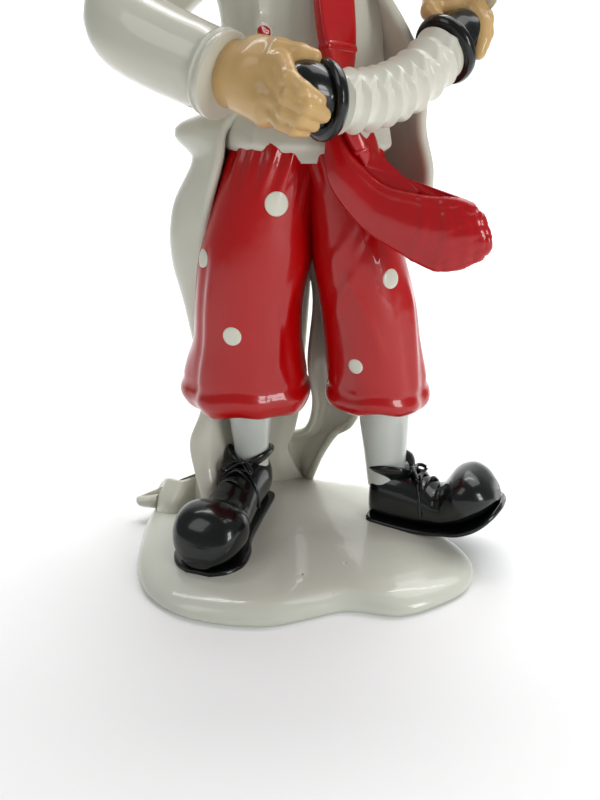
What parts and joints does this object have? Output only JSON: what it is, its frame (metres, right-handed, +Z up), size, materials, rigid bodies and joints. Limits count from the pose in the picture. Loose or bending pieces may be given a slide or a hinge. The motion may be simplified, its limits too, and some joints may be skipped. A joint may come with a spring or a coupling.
{
  "type": "clown musician figurine",
  "caption": "Glossy painted resin clown in a bowler hat, long tail coat and big shoes, playing a small concertina on a low free-form base.",
  "frame": {"origin": "middle of the flat underside of the base, on the ground", "axes": "+Z up the figure; -Y is the front the figure faces, +X to the viewer's right"},
  "size_m": [0.1791, 0.1259, 0.3498],
  "materials": {
    "painted_resin": "high-gloss painted and varnished resin"
  },
  "bodies": {
    "root": {"clown_figurine": "painted_resin"}
  },
  "joints": []
}
